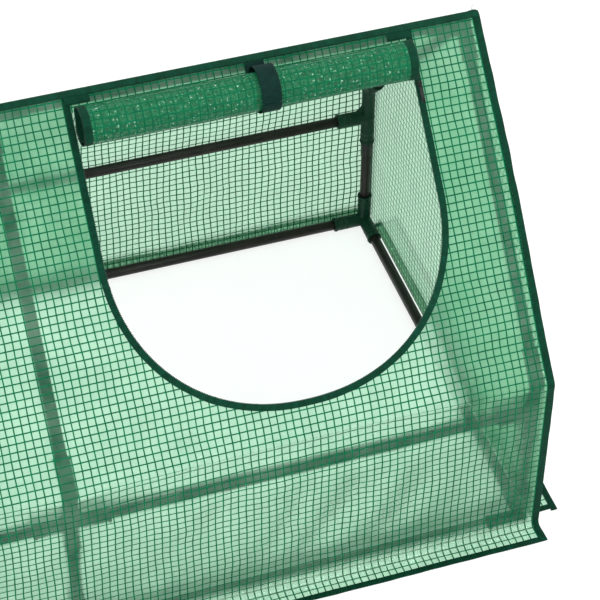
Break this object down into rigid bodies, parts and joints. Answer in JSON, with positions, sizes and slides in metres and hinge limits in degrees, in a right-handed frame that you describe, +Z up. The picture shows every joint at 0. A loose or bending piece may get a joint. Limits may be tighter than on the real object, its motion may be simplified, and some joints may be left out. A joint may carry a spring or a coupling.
{
  "type": "mini greenhouse",
  "caption": "Low gabled greenhouse: push-fit tube frame under a reinforced film cover with ground skirts and U-shaped zipped roll-up windows in the front slope.",
  "frame": {"origin": "middle of the footprint, on the ground", "axes": "+X along the ridge to the right seen from the front, +Y to the rear, +Z up; the windows face -Y"},
  "size_m": [1.9172, 1.03, 0.929],
  "materials": {
    "tube": "dark brown-black powder coat, satin",
    "connector": "moulded dark green polypropylene",
    "film": "clear mint film with a dark green reinforcing grid, glossy",
    "binding": "woven dark green bias tape, stitched",
    "strap": "woven dark teal ribbon",
    "zip": "black zip slider and pull"
  },
  "bodies": {
    "root": {"ground_front_left": "tube", "ground_front_right": "tube", "ground_rear_left": "tube", "ground_rear_right": "tube", "ground_side_left": "tube", "ground_side_right": "tube", "eave_front_left": "tube", "eave_front_right": "tube", "eave_rear_left": "tube", "eave_rear_right": "tube", "ridge_left": "tube", "ridge_right": "tube", "post_front_left": "tube", "post_front_mid": "tube", "post_front_right": "tube", "post_rear_left": "tube", "post_rear_mid": "tube", "post_rear_right": "tube", "rafter_front_left": "tube", "rafter_front_mid": "tube", "rafter_front_right": "tube", "rafter_rear_left": "tube", "rafter_rear_mid": "tube", "rafter_rear_right": "tube", "ground_connector_front_left": "connector", "ground_connector_front_mid": "connector", "ground_connector_front_right": "connector", "ground_connector_rear_left": "connector", "ground_connector_rear_mid": "connector", "ground_connector_rear_right": "connector", "eave_connector_front_left": "connector", "eave_connector_front_mid": "connector", "eave_connector_front_right": "connector", "eave_connector_rear_left": "connector", "eave_connector_rear_mid": "connector", "eave_connector_rear_right": "connector", "ridge_connector_left": "connector", "ridge_connector_mid": "connector", "ridge_connector_right": "connector", "front_slope_left": "film", "front_slope_right": "film", "front_wall": "film", "rear_sheet": "film", "gable_left": "film", "gable_right": "film", "binding_ridge": "binding", "binding_gable_left": "binding", "binding_gable_right": "binding", "binding_window_left": "binding", "binding_window_right": "binding"},
    "closed_flap": {"window_flap_left": "film"},
    "closed_flap_strap": {"roll_strap_left": "strap"},
    "inner_strap": {"roll_strap_inner_left": "strap"},
    "rolled_flap": {"window_roll_right": "film", "roll_strap_inner_right": "strap"},
    "rolled_flap_strap": {"roll_strap_right": "strap"},
    "left_slider": {"zip_slider_left": "zip"},
    "left_pull": {"zip_pull_left": "zip"},
    "right_slider": {"zip_slider_right": "zip"},
    "right_pull": {"zip_pull_right": "zip"}
  },
  "joints": [
    {"name": "closed_flap_lift", "type": "hinge", "parent": "root", "child": "closed_flap", "pos_m": [-0.45577, -0.02951, 0.87652], "axis": [-1, 0, 0], "range_deg": [0, 110]},
    {"name": "closed_flap_strap_lift", "type": "hinge", "parent": "closed_flap", "child": "closed_flap_strap", "pos_m": [-0.48178, -0.03092, 0.87779], "axis": [-1, 0, 0], "range_deg": [0, 25]},
    {"name": "inner_strap_swing", "type": "hinge", "parent": "root", "child": "inner_strap", "pos_m": [-0.48178, -0.02699, 0.87423], "axis": [1, 0, 0], "range_deg": [-25, 40]},
    {"name": "rolled_flap_lift", "type": "hinge", "parent": "root", "child": "rolled_flap", "pos_m": [0.45577, -0.02951, 0.87652], "axis": [-1, 0, 0], "range_deg": [0, 30]},
    {"name": "rolled_flap_strap_lift", "type": "hinge", "parent": "rolled_flap", "child": "rolled_flap_strap", "pos_m": [0.48178, -0.02951, 0.87652], "axis": [-1, 0, 0], "range_deg": [0, 18]},
    {"name": "left_slider_travel", "type": "slide", "parent": "root", "child": "left_slider", "axis": [0, -0.6708, -0.7416], "range_m": [0, 0.19]},
    {"name": "left_pull_swing", "type": "hinge", "parent": "left_slider", "child": "left_pull", "pos_m": [-0.77452, -0.0667, 0.84718], "axis": [-1, 0, 0], "range_deg": [0, 120]},
    {"name": "right_slider_travel", "type": "slide", "parent": "root", "child": "right_slider", "axis": [0, -0.6708, -0.7416], "range_m": [0, 0.16]},
    {"name": "right_pull_swing", "type": "hinge", "parent": "right_slider", "child": "right_pull", "pos_m": [0.77452, -0.08682, 0.82493], "axis": [-1, 0, 0], "range_deg": [0, 120]}
  ]
}
